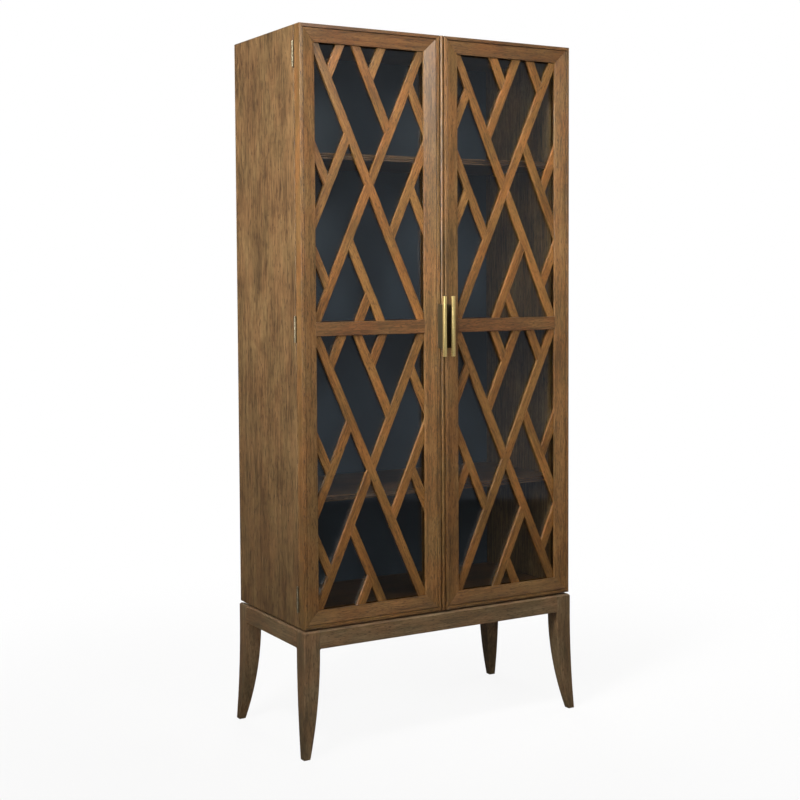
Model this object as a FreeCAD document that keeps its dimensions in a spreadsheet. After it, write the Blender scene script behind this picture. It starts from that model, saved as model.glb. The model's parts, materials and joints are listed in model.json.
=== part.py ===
import FreeCAD, Part
import math
import os
import re

import Sketcher

# Tall two-door book cabinet on sabre legs, with lattice fretwork over glass.
# +X runs from the left door to the right one, as seen from the front, +Y from front to back and +Z up.
# The origin is the bottom centre of the closed cabinet's box, pulls included. All lengths are millimetres.

# Driving sizes
SIZES = {
    # Case
    "case_width": 965,
    "case_height": 1764,
    "cabinet_depth": 457,
    "side_thickness": 20,
    "top_thickness": 22,
    "bottom_thickness": 22,
    "bottom_housing": 6,
    "back_thickness": 8,
    "back_rabbet": 10,
    "glue_gap": 0.1,
    # Shelves and their pins
    "shelf_thickness": 18,
    "shelf_pitch": 510,
    "shelf_setback": 20,
    "shelf_side_gap": 1,
    "shelf_back_gap": 2,
    "groove_width": 3,
    "groove_radius": 1.6,
    "peg_radius": 2.5,
    "peg_depth": 10,
    "peg_clearance": 0.05,
    "peg_inset": 60,
    "tongue_length": 12,
    "tongue_width": 9,
    "tongue_thickness": 3,
    # Door frames
    "door_thickness": 35,
    "door_gap": 3,
    "meeting_edge": 9,
    "member_width": 51,
    "fillet_width": 10,
    "step_depth": 2,
    "quirk_width": 2,
    "quirk_depth": 2.5,
    "slope_depth": 8,
    "lip_depth": 16,
    "rabbet_width": 8,
    "arris": 1.2,
    "mid_rail_height": 41,
    # Fretwork, glass and glass beads
    "bar_width": 25.5,
    "bar_angle": 24.1,
    "fret_thickness": 10,
    "glass_thickness": 3,
    "pane_gap": 0.5,
    "bead_chamfer": 3,
    # Meeting strip
    "strip_width": 14,
    "strip_quirk": 3,
    "strip_round": 2.5,
    # Butt hinges
    "hinge_length": 76,
    "hinge_end": 85,
    "leaf_thickness": 1.4,
    "leaf_width": 18,
    "barrel_radius": 3.5,
    "barrel_standoff": 0.3,
    "hinge_pin_radius": 1.75,
    "pin_clearance": 0.05,
    "knuckle_gap": 0.3,
    "pin_head_radius": 2.6,
    "pin_head_height": 1.5,
    "hinge_screw_radius": 1.6,
    "hinge_screw_head": 3,
    "hinge_screw_length": 15,
    "hinge_screw_spacing": 27,
    "hinge_screw_inset": 9,
    "screw_clearance": 0.05,
    # Pulls
    "grip_length": 184,
    "grip_width": 10,
    "grip_thickness": 10,
    "grip_arris": 0.8,
    "web_height": 134,
    "web_thickness": 6,
    "web_reach": 30,
    "pull_inset": 6.4,
    "pull_screw_radius": 2,
    "pull_screw_head_radius": 3.8,
    "pull_screw_head_height": 2.4,
    "pull_screw_bite": 12,
    "pull_screw_end": 12,
    # Magnetic catches
    "catch_width": 46,
    "catch_height": 12,
    "catch_depth": 26,
    "catch_centre": 55,
    "pole_height": 8,
    "pole_reach": 1.1,
    "plate_width": 40,
    "plate_height": 12,
    "plate_thickness": 1.6,
    # Base
    "base_height": 378,
    "base_proud": 3,
    "base_chamfer": 5,
    "leg_width": 52,
    "foot_width": 22,
    "foot_splay": 10,
    "foot_chamfer": 1.5,
    "apron_height": 55,
    "apron_thickness": 20,
    "apron_ear": 4,
    "tenon_length": 20,
    "tenon_thickness": 8,
    "tenon_shoulder": 8,
    "deck_thickness": 24,
    "deck_rise": 6,
    "block_reach": 120,
    "block_height": 30,
    "bolt_radius": 3,
    "bolt_head_radius": 5.5,
    "bolt_head_height": 4,
    "bolt_bite": 14,
    "bolt_spread": 600,
    "bolt_inset": 60,
    "bolt_clearance": 0.2,
    # One overrun serves every cut
    "overrun": 2,
}

# Flats that stand for a full round on the small hardware and its holes, which keeps their faces few
KNUCKLE_FLAT_COUNT = 12
FASTENER_FLAT_COUNT = 8
# Knuckles of a hinge, in turn the case leaf's and the door leaf's
KNUCKLE_COUNT = 5

# Sizes and places that follow from the driving sizes
PLACES = {
    "half_width": "case_width / 2",
    "inner_half": "half_width - side_thickness",
    "pull_reach": "web_reach + grip_thickness",
    "door_front": "(pull_reach - cabinet_depth - base_proud - foot_splay) / 2",
    "door_back": "door_front + door_thickness",
    "case_front": "door_back + door_gap",
    "case_depth": "cabinet_depth - door_thickness - door_gap",
    "case_bottom": "base_height + deck_rise",
    "case_middle": "case_bottom + case_height / 2",
    "case_top": "case_bottom + case_height",
    "door_width": "half_width - meeting_edge",
    "open_width": "door_width - 2 * member_width",
    "open_height": "(case_height - 2 * member_width - mid_rail_height) / 2",
    "open_left": "-half_width + member_width",
    "lower_open_bottom": "case_bottom + member_width",
    "upper_open_bottom": "case_middle + mid_rail_height / 2",
    "under_lip": "rabbet_width - pane_gap",
    "pane_width": "open_width + 2 * under_lip",
    "pane_height": "open_height + 2 * under_lip",
    "glass_front": "lip_depth + fret_thickness",
    "bead_front": "glass_front + glass_thickness",
    "barrel_x": "-half_width - barrel_standoff - barrel_radius",
    "barrel_y": "door_back + door_gap / 2",
    "knuckle": f"hinge_length / {KNUCKLE_COUNT}",
    "pull_x": "-meeting_edge - pull_inset",
    "base_half": "half_width + base_proud",
    "base_front": "door_front - base_proud",
    "base_depth": "cabinet_depth + 2 * base_proud",
    "base_middle": "base_front + base_depth / 2",
    "apron_bottom": "base_height - apron_height",
    "foot_drop": "leg_width + foot_splay - foot_width",
    "outer_sweep": "(apron_bottom ^ 2 + foot_splay ^ 2) / (2 * foot_splay)",
    "inner_sweep": "(apron_bottom ^ 2 + foot_drop ^ 2) / (2 * foot_drop)",
    "tenon_inset": "(apron_thickness - tenon_thickness) / 2",
    "lower_groove": "shelf_thickness / 3",
    "upper_groove": "shelf_thickness - lower_groove",
    "shelf_front": "case_front + shelf_setback",
    "shelf_depth": "case_depth - shelf_setback - back_thickness - shelf_back_gap",
}

# Fretwork bars: the edge of the opening that the centre line meets, and where along it, as a share of
# the edge from the hinge side or from the top; then the bars that it stops at, and its side of each
TOP_SHARES = {"long_fall": 0.01, "short_rise_a": 0.245, "fall_a": 0.385, "short_rise_b": 0.62,
              "long_rise": 0.99}
HINGE_SHARES = {"short_fall_a": 0.375, "rise_a": 0.64, "short_fall_b": 0.75}
MEETING_SHARES = {"short_fall_c": 0.255, "rise_b": 0.38, "short_fall_d": 0.63}
BOTTOM_SHARES = {"short_rise_c": 0.40, "fall_b": 0.60}
FALLING_STOPS = {"long_fall": (), "fall_a": (("long_rise", -1),), "fall_b": (("long_rise", 1),),
                 "short_fall_a": (("rise_a", -1),), "short_fall_b": (("long_rise", -1), ("rise_a", 1)),
                 "short_fall_c": (("long_rise", 1),), "short_fall_d": (("rise_b", 1),)}
RISING_STOPS = {"long_rise": (), "short_rise_a": (("long_fall", 1),), "short_rise_b": (("fall_a", 1),),
                "rise_a": (("long_fall", -1),), "rise_b": (("long_fall", 1),),
                "short_rise_c": (("fall_b", -1),)}

doc = FreeCAD.newDocument("book_cabinet")
sheet = doc.addObject("Spreadsheet::Sheet", "sizes")
for row, (name, value) in enumerate(SIZES.items(), start=1):
    sheet.set(f"A{row}", name)
    sheet.set(f"B{row}", str(value))
    sheet.setAlias(f"B{row}", name)
places = doc.addObject("App::VarSet", "places")
reader = doc.addObject("App::VarSet", "reader")
reader.addProperty("App::PropertyFloat", "reading")
doc.recompute()

nodes = []


# Reading and binding the sizes
def formula(text):
    """The text with each size's name led by the object that holds it."""
    def holder(match):
        word = match.group(0)
        if word in SIZES:
            return "sizes." + word
        return "places." + word if word in PLACES else word
    return re.sub(r"[a-z_]+", holder, text)


def bind(thing, prop, text):
    thing.setExpression(prop, formula(text))


for name, text in PLACES.items():
    places.addProperty("App::PropertyFloat", name)
    bind(places, name, text)
doc.recompute()


def size(text):
    """The number that a formula of named sizes gives now."""
    bind(reader, "reading", text)
    reader.recompute()
    return reader.reading


def place(thing, corner, axis=(0, 0, 1), turn=0):
    """Put a piece at a corner given by three formulas, turned about an axis."""
    thing.Placement = FreeCAD.Placement(FreeCAD.Vector(), FreeCAD.Rotation(FreeCAD.Vector(axis), turn))
    for letter, text in zip("xyz", corner):
        bind(thing, f"Placement.Base.{letter}", text)


def keep(thing, label):
    """Name a piece and put it on the list of pieces to write."""
    thing.Label = label
    nodes.append(thing)
    return thing


# Ways of making a piece
def box(name, corner, lengths):
    block = doc.addObject("Part::Box", name)
    for prop, text in zip(("Length", "Width", "Height"), lengths):
        bind(block, prop, text)
    place(block, corner)
    return block


def rod(name, radius, length, corner, axis=(0, 0, 1), turn=0, flats=FASTENER_FLAT_COUNT):
    """A round rod, with its corners on the radius."""
    prism = doc.addObject("Part::Prism", name)
    prism.Polygon = flats
    bind(prism, "Circumradius", radius)
    bind(prism, "Height", length)
    place(prism, corner, axis, turn)
    return prism


def countersink(name, wide, narrow, depth, corner, axis=(0, 0, 1), turn=0):
    """A round taper from a wide mouth to a narrow end."""
    ends = []
    for end, radius, along in (("mouth", wide, "0"), ("end", narrow, depth)):
        outline = doc.addObject("Part::RegularPolygon", f"{name}_{end}")
        outline.Polygon = FASTENER_FLAT_COUNT
        bind(outline, "Circumradius", radius)
        place(outline, ("0", "0", along))
        ends.append(outline)
    taper = doc.addObject("Part::Loft", name)
    taper.Sections = ends
    taper.Solid = True
    taper.Ruled = True
    place(taper, corner, axis, turn)
    return taper


def join(name, pieces):
    fused = doc.addObject("Part::MultiFuse", name)
    fused.Shapes = pieces
    return fused


def cut(name, base, tool):
    result = doc.addObject("Part::Cut", name)
    result.Base = base
    result.Tool = tool
    return result


def group(name, pieces):
    compound = doc.addObject("Part::Compound", name)
    compound.Links = pieces
    return compound


def mirror(source, label, normal=(1, 0, 0), base="0"):
    """The piece of the other hand, mirrored in an upright plane."""
    twin = doc.addObject("Part::Mirroring", label)
    twin.Source = source
    twin.Normal = FreeCAD.Vector(normal)
    bind(twin, "Base.y", base)
    return keep(twin, label)


def both_sides(solids):
    """Some solids and their mirror images on the other side of the cabinet."""
    return solids + [solid.mirror(FreeCAD.Vector(), FreeCAD.Vector(1, 0, 0)) for solid in solids]


def spread(name, source, spots):
    """Like solids in one object: the source piece moved to each spot."""
    doc.recompute()
    shapes = []
    for spot in spots:
        shape = source.Shape.copy()
        shape.translate(FreeCAD.Vector(*spot))
        shapes.append(shape)
    piece = doc.addObject("Part::Feature", name)
    piece.Shape = Part.makeCompound(shapes)
    return piece


def copies(label, source, spots):
    """Like pieces in one node."""
    return keep(spread(label, source, spots), label)


def drill(body, label, tools):
    """A piece with the holes that its fasteners need, each the fastener's own shape and a clearance."""
    return keep(cut(label, body, group(label + "_holes", tools)), label)


def new_body(label):
    body = doc.addObject("PartDesign::Body", label)
    body.Label = label
    return body


def new_sketch(body, plane, offset=None):
    """An empty sketch on one of the body's own origin planes, or at an offset along its normal."""
    sketch = body.newObject("Sketcher::SketchObject", body.Name + "_sketch")
    support = next(item for item in body.Origin.OriginFeatures if item.Role == plane)
    sketch.AttachmentSupport = [(support, "")]
    sketch.MapMode = "FlatFace"
    if offset:
        bind(sketch, "AttachmentOffset.Base.z", offset)
    return sketch


def fix_point(sketch, curve, end, spot):
    for kind, text in zip(("DistanceX", "DistanceY"), spot):
        index = sketch.addConstraint(Sketcher.Constraint(kind, -1, 1, curve, end, size(text)))
        bind(sketch, f"Constraints[{index}]", text)


def draw(sketch, points, arcs=None):
    """Draw a closed outline through points given as formulas. arcs names the stretches that bend:
    the radius, and 1 or -1 for the side that the bend lies on."""
    arcs = arcs or {}
    corners = [FreeCAD.Vector(size(u), size(v), 0) for u, v in points]
    starts = []
    for index, start in enumerate(corners):
        end = corners[(index + 1) % len(corners)]
        if index not in arcs:
            curve = sketch.addGeometry(Part.LineSegment(start, end), False)
            starts.append((curve, 1, 2))
            continue
        radius, side = arcs[index]
        reach = size(radius)
        chord = end - start
        rise = reach - math.sqrt(max(reach ** 2 - (chord.Length / 2) ** 2, 0))
        across = FreeCAD.Vector(-chord.y, chord.x, 0).normalize()
        arc = Part.Arc(start, (start + end) / 2 + across * side * rise, end)
        curve = sketch.addGeometry(arc, False)
        from_start, from_end = (sketch.getPoint(curve, end).distanceToPoint(start) for end in (1, 2))
        starts.append((curve, 1, 2) if from_start < from_end else (curve, 2, 1))
    for index, (curve, start, end) in enumerate(starts):
        following = starts[(index + 1) % len(starts)]
        sketch.addConstraint(Sketcher.Constraint("Coincident", curve, end, following[0], following[1]))
        fix_point(sketch, curve, start, points[index])
        if index in arcs:
            number = sketch.addConstraint(Sketcher.Constraint("Radius", curve, size(arcs[index][0])))
            bind(sketch, f"Constraints[{number}]", arcs[index][0])


def pad(body, sketch, length, flip=False):
    feature = body.newObject("PartDesign::Pad", body.Name + "_pad")
    feature.Profile = sketch
    bind(feature, "Length", length)
    feature.Reversed = flip
    body.Tip = feature


def pocket(body, sketch, length=None, flip=False):
    """Cut a drawn outline to a depth, or right through both ways."""
    feature = body.newObject("PartDesign::Pocket", body.Name + "_pocket")
    feature.Profile = sketch
    if length:
        bind(feature, "Length", length)
        feature.Reversed = flip
    else:
        feature.Type = "ThroughAll"
        feature.Midplane = True
    body.Tip = feature


def rectangle(u_low, v_low, u_high, v_high):
    return [(u_low, v_low), (u_high, v_low), (u_high, v_high), (u_low, v_high)]


# Case sides: upright boards, mitred to the top, rabbeted for the back and the bottom
def side_panel():
    body = new_body("side_board")
    board = new_sketch(body, "XZ_Plane")
    draw(board, [("0", "0"), ("side_thickness", "0"),
                 ("side_thickness", "case_height - top_thickness"), ("0", "case_height")])
    pad(body, board, "case_depth", flip=True)
    rabbet = new_sketch(body, "XY_Plane")
    draw(rabbet, rectangle("side_thickness - back_rabbet", "case_depth - back_thickness",
                           "side_thickness + overrun", "case_depth + overrun"))
    pocket(body, rabbet)
    housing = new_sketch(body, "XZ_Plane")
    draw(housing, rectangle("side_thickness - bottom_housing", "-overrun",
                            "side_thickness + overrun", "bottom_thickness"))
    pocket(body, housing)
    place(body, ("-half_width", "case_front", "case_bottom"))
    pegs = spread("peg_holes", shelf_pin("peg_hole", "-", 90, "peg_clearance"), shelf_pin_spots())
    screws = spread("case_screw_holes", screw("case_screw_hole", 1, "screw_clearance"), screw_spots())
    return drill(body, "side_panel_left", [pegs, screws])


def hinge_heights(bottom):
    """The middle of each of a door's hinges above a given level."""
    return (f"{bottom} + hinge_end", f"{bottom} + case_height / 2", f"{bottom} + case_height - hinge_end")


# Case top: mitred into the sides, rabbeted at the back
def top_panel():
    body = new_body("top_panel")
    board = new_sketch(body, "XZ_Plane")
    draw(board, [("-half_width", "top_thickness"), ("-inner_half", "0"),
                 ("inner_half", "0"), ("half_width", "top_thickness")])
    pad(body, board, "case_depth", flip=True)
    rabbet = new_sketch(body, "YZ_Plane")
    draw(rabbet, rectangle("case_depth - back_thickness", "-overrun",
                           "case_depth + overrun", "back_rabbet"))
    pocket(body, rabbet)
    place(body, ("0", "case_front", "case_top - top_thickness"))
    return keep(body, "top_panel")


# Case bottom: housed in the sides, with pilot holes for the bolts that hold it to the base
def bottom_panel():
    body = new_body("bottom_board")
    board = new_sketch(body, "XY_Plane")
    reach = "inner_half + bottom_housing - glue_gap"
    draw(board, rectangle(f"-({reach})", "0", reach, "case_depth - back_thickness"))
    pad(body, board, "bottom_thickness")
    place(body, ("0", "case_front", "case_bottom"))
    return drill(body, "bottom_panel", [case_bolts("case_bottom_holes", "bolt_clearance")])


# Back: one thin painted panel in the rabbets
def back_panel():
    reach = "inner_half + back_rabbet - glue_gap"
    height = "case_height - top_thickness + back_rabbet - glue_gap"
    panel = box("back_panel", (f"-({reach})", "case_front + case_depth - back_thickness", "case_bottom"),
                (f"2 * ({reach})", "back_thickness", height))
    return keep(panel, "back_panel")


# Shelves: loose boards with two grooves run along the front edge
def shelf(label, level):
    body = new_body(label)
    edge = new_sketch(body, "YZ_Plane")
    draw(edge, [("0", "0"),
                ("0", "lower_groove - groove_width / 2"), ("0", "lower_groove + groove_width / 2"),
                ("0", "upper_groove - groove_width / 2"), ("0", "upper_groove + groove_width / 2"),
                ("0", "shelf_thickness"), ("shelf_depth", "shelf_thickness"), ("shelf_depth", "0")],
         {1: ("groove_radius", -1), 3: ("groove_radius", -1)})
    pad(body, edge, "2 * (inner_half - shelf_side_gap)")
    place(body, ("-inner_half + shelf_side_gap", "shelf_front",
                 f"case_middle - shelf_thickness / 2 {level}"))
    return keep(body, label)


# Shelf pins: a round peg in the side with a flat tongue under the shelf
def shelf_pin(name, sign, turn, clearance="0"):
    peg = rod(name + "_peg", f"peg_radius + {clearance}", "peg_depth + tongue_length",
              (f"{sign}(inner_half + peg_depth)", "0", "-tongue_thickness - peg_radius"), (0, 1, 0), turn)
    corner = "-inner_half" if sign == "-" else "inner_half - tongue_length"
    tongue = box(name + "_tongue", (corner, "-tongue_width / 2", "-tongue_thickness - peg_radius"),
                 ("tongue_length", "tongue_width", "tongue_thickness + peg_radius"))
    return join(name, [peg, tongue])


def shelf_pin_spots():
    spots = []
    for level in (-1, 0, 1):
        height = size("case_middle - shelf_thickness / 2") + level * size("shelf_pitch")
        for back in ("shelf_front + peg_inset", "shelf_front + shelf_depth - peg_inset"):
            spots.append((0, size(back), height))
    return spots


# Door frame members: one moulding with a flat fillet, a step down into a narrow quirk and a long slope to
# the lip, rabbeted behind for the fretwork and glass, and mitred at both ends
def door_member(name, length, corner, turn):
    body = new_body(name)
    moulding = new_sketch(body, "XY_Plane")
    draw(moulding, [("0", "arris"), ("arris", "0"), ("fillet_width", "0"),
                    ("fillet_width", "step_depth + quirk_depth"),
                    ("fillet_width + quirk_width", "step_depth"),
                    ("member_width", "slope_depth"), ("member_width", "lip_depth"),
                    ("member_width - rabbet_width", "lip_depth"),
                    ("member_width - rabbet_width", "door_thickness"), ("0", "door_thickness")])
    pad(body, moulding, length)
    mitres = new_sketch(body, "XZ_Plane")
    wide, end = "member_width + overrun", f"{length} + overrun"
    draw(mitres, [("-overrun", "-overrun"), (wide, "-overrun"), (wide, wide)])
    draw(mitres, [("-overrun", end), (wide, f"{length} - ({wide})"), (wide, end)])
    pocket(body, mitres)
    place(body, corner, (0, 1, 0), turn)
    return body


def hinge_stile():
    body = door_member("hinge_stile", "case_height", ("-half_width", "door_front", "case_bottom"), 0)
    screws = spread("door_screw_holes", screw("door_screw_hole", -1, "screw_clearance"), screw_spots())
    return drill(body, "left_hinge_stile", [screws])


def meeting_stile():
    body = door_member("meeting_stile", "case_height", ("-meeting_edge", "door_front", "case_top"), 180)
    screws = spread("stile_screw_holes", pull_screw("stile_screw_hole", "screw_clearance"),
                    pull_screw_spots())
    return drill(body, "left_meeting_stile", [screws])


def mid_rail():
    """The rail between the two openings, flush with the lip and lapped over the rabbets behind."""
    body = new_body("left_mid_rail")
    section = new_sketch(body, "YZ_Plane")
    top, tail = "mid_rail_height / 2", "(mid_rail_height / 2 - rabbet_width)"
    draw(section, [("slope_depth", f"-{top}"), ("slope_depth", top), ("lip_depth", top),
                   ("lip_depth", tail), ("door_thickness", tail), ("door_thickness", f"-{tail}"),
                   ("lip_depth", f"-{tail}"), ("lip_depth", f"-{top}")])
    pad(body, section, "open_width")
    laps = new_sketch(body, "XZ_Plane", "-lip_depth")
    draw(laps, rectangle("-rabbet_width + glue_gap", f"-{tail}",
                         "open_width + rabbet_width - glue_gap", tail))
    pad(body, laps, "door_thickness - lip_depth", flip=True)
    place(body, ("open_left", "door_front", "case_middle"))
    return keep(body, "left_mid_rail")


# Fretwork: leaning bars in two directions, butted and glued, with the two long bars halved where they
# cross
def clip(corners, inside):
    """The part of an outline where inside is not negative; inside is linear."""
    kept = []
    for here, there in zip(corners, corners[1:] + corners[:1]):
        a, b = inside(here), inside(there)
        if a >= 0:
            kept.append(here)
        if a * b < 0:
            kept.append(tuple(p + (q - p) * a / (a - b) for p, q in zip(here, there)))
    return kept


def bar_lines():
    """Where each bar's centre line runs: the place along the opening's top that it would pass."""
    width, height = size("open_width"), size("open_height")
    slope = math.tan(math.radians(size("bar_angle")))
    lines = {}
    for name in FALLING_STOPS | RISING_STOPS:
        lean = slope if name in FALLING_STOPS else -slope
        if name in TOP_SHARES:
            lines[name] = TOP_SHARES[name] * width
        elif name in HINGE_SHARES:
            lines[name] = -lean * HINGE_SHARES[name] * height
        elif name in MEETING_SHARES:
            lines[name] = width - lean * MEETING_SHARES[name] * height
        else:
            lines[name] = BOTTOM_SHARES[name] * width - lean * height
    return lines, slope


def bar_outline(name, lines, slope):
    """A bar's outline, across from the hinge side and down from the top of the opening."""
    under = size("under_lip")
    width, height = size("open_width"), size("open_height")
    half = size("bar_width") / 2 / math.cos(math.radians(size("bar_angle")))
    lean, stops = (slope, FALLING_STOPS[name]) if name in FALLING_STOPS else (-slope, RISING_STOPS[name])
    low, high = -under, height + under
    strip = [(lines[name] + lean * v + side * half, v) for side, v in
             ((-1, low), (1, low), (1, high), (-1, high))]
    strip = clip(strip, lambda p: p[0] + under)
    strip = clip(strip, lambda p: width + under - p[0])
    for other, side in stops:
        strip = clip(strip, lambda p: side * (p[0] + lean * p[1] - lines[other]) - half)
    return strip


def bar_solid(outline, depth, thickness):
    points = [FreeCAD.Vector(u, depth, -v) for u, v in outline]
    face = Part.Face(Part.makePolygon(points + points[:1]))
    return face.extrude(FreeCAD.Vector(0, thickness, 0))


def fret(level, bottom):
    lines, slope = bar_lines()
    depth, thickness = size("lip_depth"), size("fret_thickness")
    spot = FreeCAD.Vector(size("open_left"), size("door_front"), size(f"{bottom} + open_height"))
    halving = {"long_fall": ("long_rise", thickness / 2), "long_rise": ("long_fall", 0)}
    pieces = []
    for way, names in (("falling", FALLING_STOPS), ("rising", RISING_STOPS)):
        bars = []
        for name in names:
            bar = bar_solid(bar_outline(name, lines, slope), depth, thickness)
            if name in halving:
                other, start = halving[name]
                bar = bar.cut(bar_solid(bar_outline(other, lines, slope), depth + start, thickness / 2))
            bars.append(bar)
        piece = doc.addObject("Part::Feature", f"left_{level}_fret_{way}")
        piece.Shape = Part.makeCompound(bars)
        piece.Placement = FreeCAD.Placement(spot, FreeCAD.Rotation())
        pieces.append(keep(piece, f"left_{level}_fret_{way}"))
    return pieces


# Glass: one pane behind each fret panel, held by wooden beads
def glass():
    panes = []
    for level in ("lower", "upper"):
        corner = ("open_left - under_lip", "door_front + glass_front", f"{level}_open_bottom - under_lip")
        panes.append(box(f"left_{level}_pane", corner, ("pane_width", "glass_thickness", "pane_height")))
    return keep(group("left_glass_panes", panes), "left_glass_panes")


def glass_beads():
    width, chamfer = size("under_lip"), size("bead_chamfer")
    front, back = size("bead_front"), size("door_thickness")
    across, up = size("pane_width"), size("pane_height")
    profile = [(0, front), (width, front), (width, back - chamfer), (width - chamfer, back), (0, back)]
    strips = []
    for level in ("lower", "upper"):
        corner = FreeCAD.Vector(size("open_left - under_lip"), size("door_front"),
                                size(f"{level}_open_bottom - under_lip"))
        for side in (1, -1):
            upright = [FreeCAD.Vector(u * side, y, 0) for u, y in profile]
            start = corner + FreeCAD.Vector(0 if side == 1 else across, 0, 0)
            strips.append(extruded(upright, start, FreeCAD.Vector(0, 0, up)))
            level_run = [FreeCAD.Vector(0, y, u * side) for u, y in profile]
            start = corner + FreeCAD.Vector(width, 0, 0 if side == 1 else up)
            strips.append(extruded(level_run, start, FreeCAD.Vector(across - 2 * width, 0, 0)))
    piece = doc.addObject("Part::Feature", "left_glass_beads")
    piece.Shape = Part.makeCompound(strips)
    return keep(piece, "left_glass_beads")


def extruded(points, start, way):
    """A strip with the given section, run from a start along a way."""
    placed = [start + point for point in points]
    return Part.Face(Part.makePolygon(placed + placed[:1])).extrude(way)


# Meeting strip: glued to the right door's edge, rounded in front with a quirk beside the door
def meeting_strip():
    body = new_body("meeting_strip")
    section = new_sketch(body, "XY_Plane")
    round_end = "strip_width - strip_quirk"
    draw(section, [("0", "strip_round"), (round_end, "strip_round"),
                   (round_end, "strip_round + strip_quirk"),
                   ("strip_width", "strip_round + strip_quirk"), ("strip_width", "door_thickness"),
                   ("0", "door_thickness")],
         {0: (f"(({round_end}) ^ 2 / 4 + strip_round ^ 2) / (2 * strip_round)", -1)})
    pad(body, section, "case_height")
    place(body, ("meeting_edge - strip_width", "door_front", "case_bottom"))
    return keep(body, "meeting_strip")


# Butt hinges: two leaves with interleaved knuckles, three to each door, a headed pin through each
def leaf(name, side, knuckles):
    """One leaf; side is -1 for the door's leaf in front of the pin and 1 for the case's behind it."""
    flat = "door_gap / 2 - leaf_thickness" if side == 1 else "-door_gap / 2"
    wing = box(name + "_wing", ("barrel_radius + barrel_standoff", flat, "-hinge_length / 2"),
               ("leaf_width", "leaf_thickness", "hinge_length"))
    parts = [wing]
    for number in knuckles:
        low = f"-hinge_length / 2 + {number} * knuckle + knuckle_gap / 2"
        tall = "knuckle - knuckle_gap"
        parts.append(rod(f"{name}_knuckle_{number}", "barrel_radius", tall, ("0", "0", low),
                         flats=KNUCKLE_FLAT_COUNT))
        parts.append(box(f"{name}_root_{number}", ("0", flat, low),
                         ("barrel_radius + barrel_standoff", "leaf_thickness", tall)))
    solid = join(name + "_solid", parts)
    bore = rod(name + "_bore", f"(hinge_pin_radius + pin_clearance) / cos(180deg / {KNUCKLE_FLAT_COUNT})",
               "hinge_length + 2 * overrun", ("0", "0", "-hinge_length / 2 - overrun"),
               flats=KNUCKLE_FLAT_COUNT)
    sinks = spread(name + "_sinks", screw(name + "_sink", side, "screw_clearance"),
                   [(0, 0, offset) for offset in screw_offsets()])
    return cut(name, solid, group(name + "_holes", [bore, sinks]))


def screw(name, side, clearance="0"):
    """A countersunk wood screw with its head flush in a leaf; side is the way that it runs."""
    face = "-leaf_thickness + door_gap / 2" if side == 1 else "leaf_thickness - door_gap / 2"
    spot = ("barrel_radius + barrel_standoff + hinge_screw_inset", face, "0")
    turn = -90 if side == 1 else 90
    narrow = f"hinge_screw_radius + {clearance}"
    head = countersink(name + "_head", f"hinge_screw_head + {clearance}", narrow, "leaf_thickness",
                       spot, (1, 0, 0), turn)
    shank = rod(name + "_shank", narrow, "hinge_screw_length", spot, (1, 0, 0), turn)
    return join(name, [head, shank])


def hinge_spots():
    return [(size("barrel_x"), size("barrel_y"), size(height)) for height in hinge_heights("case_bottom")]


def screw_offsets():
    step = size("hinge_screw_spacing")
    return (-step, 0, step)


def screw_spots():
    return [(x, y, z + offset) for x, y, z in hinge_spots() for offset in screw_offsets()]


def both_hands(label, source, spots):
    """Pieces that stay on the case: the left door's set and its mirror image in one node."""
    pieces = copies(label, source, spots)
    pieces.Shape = Part.makeCompound(both_sides(pieces.Shape.Solids))


def hinges():
    door_leaf = leaf("door_leaf", -1, range(1, KNUCKLE_COUNT, 2))
    case_leaf = leaf("case_leaf", 1, range(0, KNUCKLE_COUNT, 2))
    door_screw = screw("door_screw", -1)
    case_screw = screw("case_screw", 1)
    shaft = doc.addObject("Part::Cylinder", "pin_shaft")
    bind(shaft, "Radius", "hinge_pin_radius")
    bind(shaft, "Height", "hinge_length")
    place(shaft, ("0", "0", "-hinge_length / 2"))
    head = rod("pin_head", "pin_head_radius", "pin_head_height", ("0", "0", "hinge_length / 2"))
    pin = join("hinge_pin", [shaft, head])
    mirrored = [copies("left_hinge_leaves", door_leaf, hinge_spots()),
                copies("left_hinge_screws", door_screw, screw_spots())]
    both_hands("case_hinge_leaves", case_leaf, hinge_spots())
    both_hands("case_hinge_screws", case_screw, screw_spots())
    both_hands("hinge_pins", pin, hinge_spots())
    return mirrored


# Pulls: a square brass grip on a dark web, held from inside by two screws
def pull_grip():
    body = new_body("left_pull_grip")
    section = new_sketch(body, "XY_Plane")
    near, far = "grip_arris", "grip_width - grip_arris"
    deep = "grip_thickness - grip_arris"
    draw(section, [(near, "0"), (far, "0"), ("grip_width", "grip_arris"), ("grip_width", deep),
                   (far, "grip_thickness"), (near, "grip_thickness"), ("0", deep), ("0", "grip_arris")])
    pad(body, section, "grip_length")
    place(body, ("pull_x - grip_width / 2", "door_front - pull_reach", "case_middle - grip_length / 2"))
    return keep(body, "left_pull_grip")


def pull_web():
    corner = ("pull_x - web_thickness / 2", "door_front - web_reach", "case_middle - web_height / 2")
    plate = box("web_plate", corner, ("web_thickness", "web_reach", "web_height"))
    screws = spread("web_screw_holes", pull_screw("web_screw_hole", "screw_clearance"),
                    pull_screw_spots())
    return drill(plate, "left_pull_web", [screws])


def pull_screw(name, clearance="0"):
    """A screw through the stile into the web, its head on the stile's back."""
    shank = rod(name + "_shank", f"pull_screw_radius + {clearance}", "door_thickness + pull_screw_bite",
                ("0", "door_thickness", "0"), (1, 0, 0), 90)
    head = rod(name + "_head", "pull_screw_head_radius", "pull_screw_head_height",
               ("0", "door_thickness + pull_screw_head_height", "0"), (1, 0, 0), 90)
    return join(name, [head, shank])


def pull_screw_spots():
    middle = size("case_middle")
    reach = size("web_height / 2 - pull_screw_end")
    return [(size("pull_x"), size("door_front"), middle + side * reach) for side in (-1, 1)]


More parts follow.
